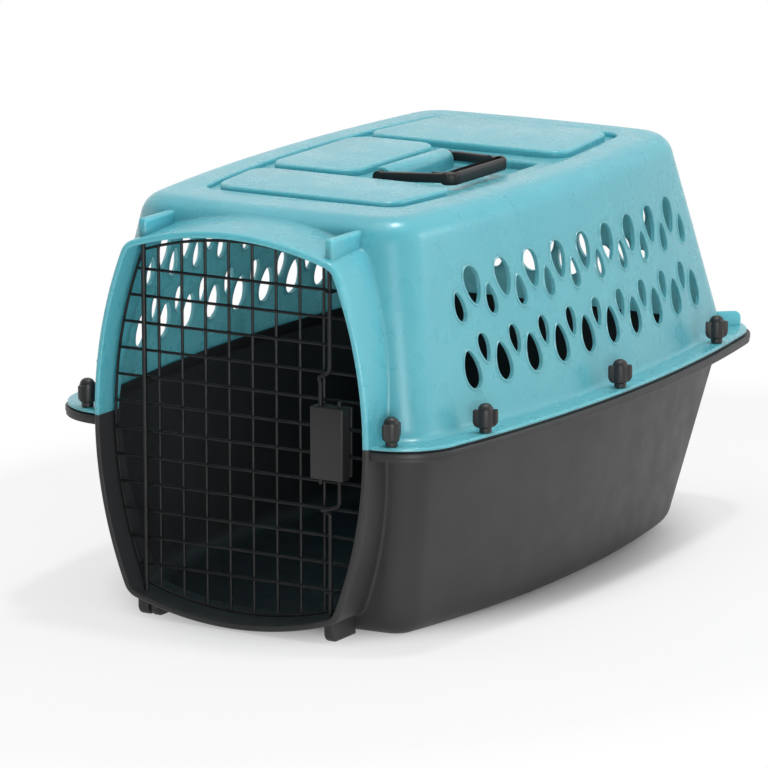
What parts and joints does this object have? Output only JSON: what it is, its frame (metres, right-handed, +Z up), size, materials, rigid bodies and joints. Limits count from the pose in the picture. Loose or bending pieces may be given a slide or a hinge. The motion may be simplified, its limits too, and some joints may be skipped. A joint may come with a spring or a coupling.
{
  "type": "pet transport carrier",
  "caption": "Two-shell plastic pet carrier with vented sides, a hinged wire grille door with a sprung squeeze latch, a folding top handle and wing nuts round the flange.",
  "frame": {"origin": "on the floor under the middle of the carrier", "axes": "+Z up, -Y out of the door, +X to the latch side as seen from the door"},
  "size_m": [0.468, 0.682, 0.3965],
  "materials": {
    "turquoise_shell": "satin",
    "dark_shell": "satin",
    "dark_fitting": "satin",
    "coated_wire": "satin",
    "plain_steel": "bright"
  },
  "bodies": {
    "shell": {"top_shell": "turquoise_shell", "bottom_shell": "dark_shell", "bolt_front_right": "plain_steel", "bolt_side_front_right": "plain_steel", "bolt_side_middle_right": "plain_steel", "bolt_side_rear_right": "plain_steel", "bolt_front_left": "plain_steel", "bolt_side_front_left": "plain_steel", "bolt_side_middle_left": "plain_steel", "bolt_side_rear_left": "plain_steel"},
    "door": {"door_grille": "coated_wire", "door_hinge_rod": "coated_wire", "latch_cover": "dark_fitting", "latch_back_plate": "dark_fitting", "latch_rod_guide_upper": "coated_wire", "latch_rod_guide_lower": "coated_wire", "latch_spring_upper": "plain_steel", "latch_spring_lower": "plain_steel"},
    "latch_upper": {"latch_rod_upper": "coated_wire"},
    "latch_lower": {"latch_rod_lower": "coated_wire"},
    "handle": {"carry_handle": "dark_fitting"},
    "nut_front_right": {"wing_nut_front_right": "dark_fitting"},
    "nut_side_front_right": {"wing_nut_side_front_right": "dark_fitting"},
    "nut_side_middle_right": {"wing_nut_side_middle_right": "dark_fitting"},
    "nut_side_rear_right": {"wing_nut_side_rear_right": "dark_fitting"},
    "nut_front_left": {"wing_nut_front_left": "dark_fitting"},
    "nut_side_front_left": {"wing_nut_side_front_left": "dark_fitting"},
    "nut_side_middle_left": {"wing_nut_side_middle_left": "dark_fitting"},
    "nut_side_rear_left": {"wing_nut_side_rear_left": "dark_fitting"}
  },
  "joints": [
    {"name": "door_hinge", "type": "hinge", "parent": "shell", "child": "door", "pos_m": [-0.101, -0.3253, 0.1875], "axis": [0, 0, -1], "range_deg": [0, 95]},
    {"name": "latch_upper_slide", "type": "slide", "parent": "door", "child": "latch_upper", "axis": [0, 0, 1], "range_m": [-0.002, 0.008], "stiffness_N_per_m": 60, "springref_m": 0.008, "deforming": ["latch_spring_upper"]},
    {"name": "latch_lower_slide", "type": "slide", "parent": "door", "child": "latch_lower", "axis": [0, 0, -1], "range_m": [-0.002, 0.008], "stiffness_N_per_m": 60, "springref_m": 0.008, "deforming": ["latch_spring_lower"]},
    {"name": "handle_fold", "type": "hinge", "parent": "shell", "child": "handle", "pos_m": [0.009, -0.022, 0.386], "axis": [0, -1, 0], "range_deg": [0, 90]},
    {"name": "nut_front_right_spin", "type": "hinge", "parent": "shell", "child": "nut_front_right", "pos_m": [0.164, -0.3262, 0.204], "axis": [0, 0, 1], "continuous": true},
    {"name": "nut_side_front_right_spin", "type": "hinge", "parent": "shell", "child": "nut_side_front_right", "pos_m": [0.209, -0.234, 0.204], "axis": [0, 0, 1], "continuous": true},
    {"name": "nut_side_middle_right_spin", "type": "hinge", "parent": "shell", "child": "nut_side_middle_right", "pos_m": [0.224, -0.004, 0.204], "axis": [0, 0, 1], "continuous": true},
    {"name": "nut_side_rear_right_spin", "type": "hinge", "parent": "shell", "child": "nut_side_rear_right", "pos_m": [0.2085, 0.2228, 0.204], "axis": [0, 0, 1], "continuous": true},
    {"name": "nut_front_left_spin", "type": "hinge", "parent": "shell", "child": "nut_front_left", "pos_m": [-0.164, -0.3262, 0.204], "axis": [0, 0, 1], "continuous": true},
    {"name": "nut_side_front_left_spin", "type": "hinge", "parent": "shell", "child": "nut_side_front_left", "pos_m": [-0.2085, -0.222, 0.204], "axis": [0, 0, 1], "continuous": true},
    {"name": "nut_side_middle_left_spin", "type": "hinge", "parent": "shell", "child": "nut_side_middle_left", "pos_m": [-0.224, -0.004, 0.204], "axis": [0, 0, 1], "continuous": true},
    {"name": "nut_side_rear_left_spin", "type": "hinge", "parent": "shell", "child": "nut_side_rear_left", "pos_m": [-0.2085, 0.2228, 0.204], "axis": [0, 0, 1], "continuous": true}
  ],
  "couplings": [
    {"joint": "latch_lower_slide", "follows": "latch_upper_slide", "ratio": 1}
  ]
}
